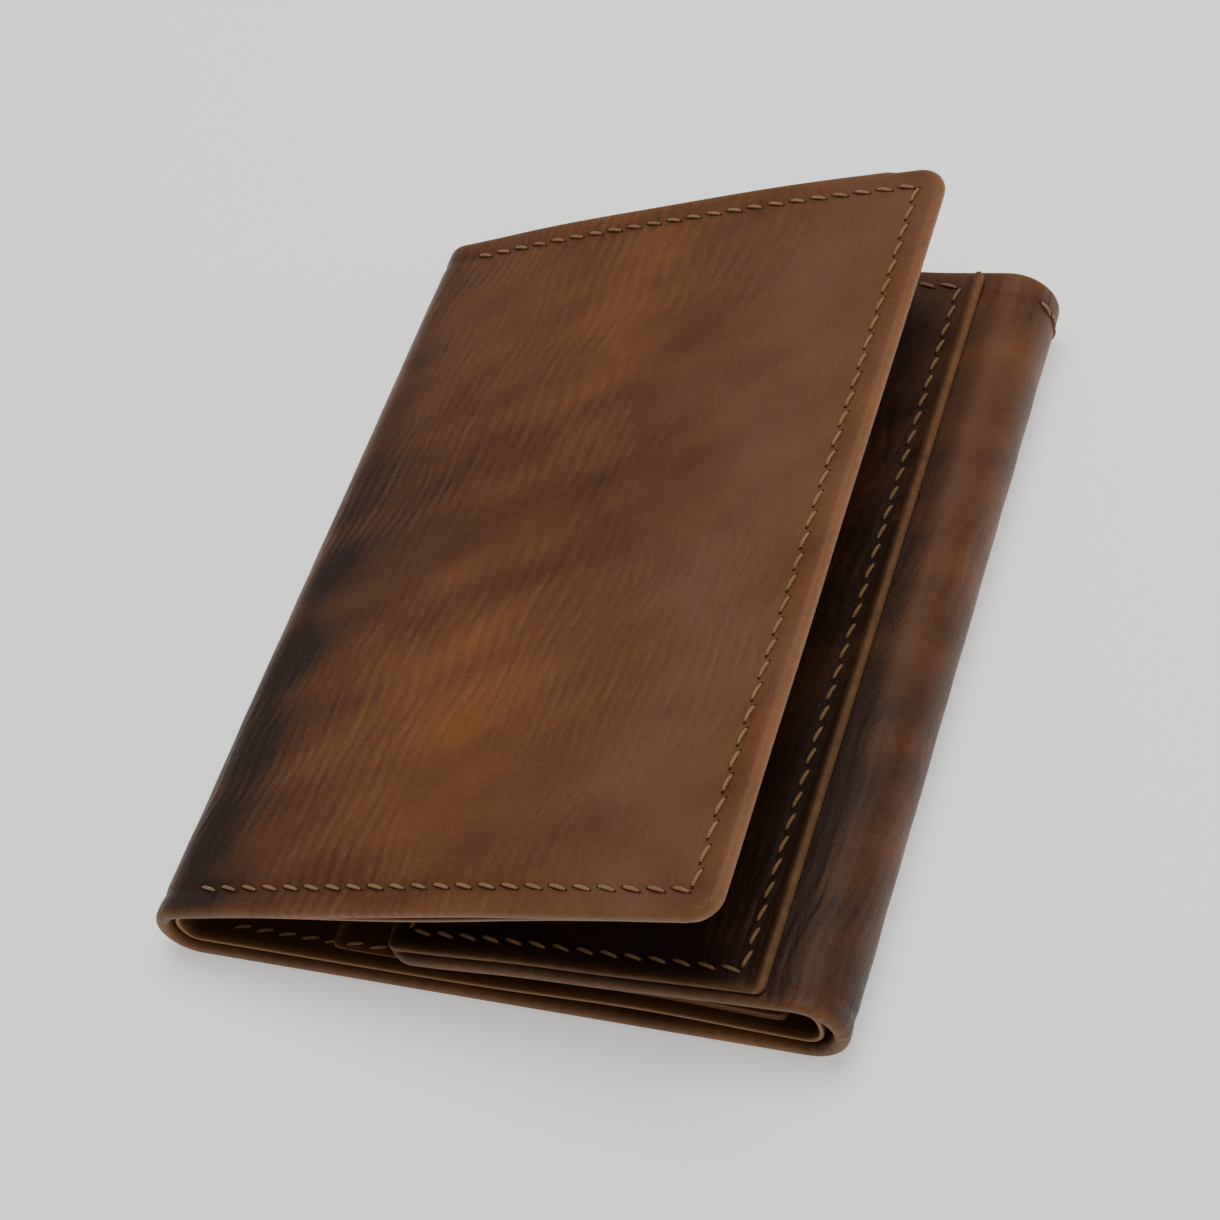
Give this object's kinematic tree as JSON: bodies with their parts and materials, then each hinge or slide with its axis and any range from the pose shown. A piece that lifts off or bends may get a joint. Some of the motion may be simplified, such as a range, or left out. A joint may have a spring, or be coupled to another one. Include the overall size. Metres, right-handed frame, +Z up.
{
  "type": "trifold wallet",
  "caption": "Brown leather trifold wallet, lying with its front flap ajar: note compartment, card pockets, card window and an outer pocket on the tuck flap.",
  "frame": {"origin": "centre of the back panel's flat outer face", "axes": "+X from the front fold to the tuck fold, +Y from the note compartment's open mouth to its closed seam, +Z up out of the back panel"},
  "size_m": [0.0855, 0.108, 0.0293],
  "materials": {
    "shell_leather": "waxed pull-up leather with creases and worn patches",
    "inner_leather": "smoother waxed leather",
    "lining": "plain woven lining",
    "thread": "waxed sewing thread",
    "window": "clear soft sheet"
  },
  "bodies": {
    "back_panel": {"back_shell": "shell_leather", "back_lining": "lining", "back_inner_panel": "inner_leather", "back_card_pocket_1": "inner_leather", "back_card_pocket_2": "inner_leather", "back_card_pocket_3": "inner_leather", "back_stitching": "thread", "back_pocket_stitching": "thread"},
    "front_fold": {"front_fold_shell": "shell_leather", "front_fold_ribbon": "inner_leather", "front_fold_stitching": "thread"},
    "front_crease": {"front_crease_shell": "shell_leather", "front_crease_ribbon": "inner_leather"},
    "front_flap": {"front_flap_shell": "shell_leather", "front_flap_lining": "lining", "front_flap_inner_panel": "inner_leather", "front_flap_card_pocket_1": "inner_leather", "front_flap_card_pocket_2": "inner_leather", "front_flap_stitching": "thread", "front_pocket_stitching": "thread"},
    "tuck_fold": {"tuck_fold_shell": "shell_leather", "tuck_fold_ribbon": "inner_leather", "tuck_fold_stitching": "thread"},
    "tuck_flap": {"tuck_flap_shell": "shell_leather", "tuck_flap_lining": "lining", "tuck_flap_inner_panel": "inner_leather", "id_window_frame": "inner_leather", "id_window_sheet": "window", "window_stitching": "thread", "outer_pocket": "shell_leather", "outer_pocket_stitching": "thread"}
  },
  "joints": [
    {"name": "front_fold_open", "type": "hinge", "parent": "back_panel", "child": "front_fold", "pos_m": [-0.04088, 0, 0.00115], "axis": [0, -1, 0], "range_deg": [0, 82]},
    {"name": "front_flap_open", "type": "hinge", "parent": "front_fold", "child": "front_crease", "pos_m": [-0.04174, 0, 0.00726], "axis": [0, -1, 0], "range_deg": [0, 82]},
    {"name": "front_flap_press", "type": "hinge", "parent": "front_crease", "child": "front_flap", "pos_m": [-0.03874, 0, 0.00797], "axis": [0, -1, 0], "range_deg": [-9, 0]},
    {"name": "tuck_fold_open", "type": "hinge", "parent": "back_panel", "child": "tuck_fold", "pos_m": [0.04094, 0, 0.00172], "axis": [0, 1, 0], "range_deg": [0, 91.5]},
    {"name": "tuck_flap_open", "type": "hinge", "parent": "tuck_fold", "child": "tuck_flap", "pos_m": [0.04062, 0, 0.00979], "axis": [0, 1, 0], "range_deg": [0, 91.5]}
  ],
  "couplings": [
    {"joint": "front_fold_open", "follows": "front_flap_open", "ratio": 1},
    {"joint": "tuck_fold_open", "follows": "front_flap_open", "ratio": 1.1155},
    {"joint": "tuck_flap_open", "follows": "front_flap_open", "ratio": 1.1155}
  ]
}
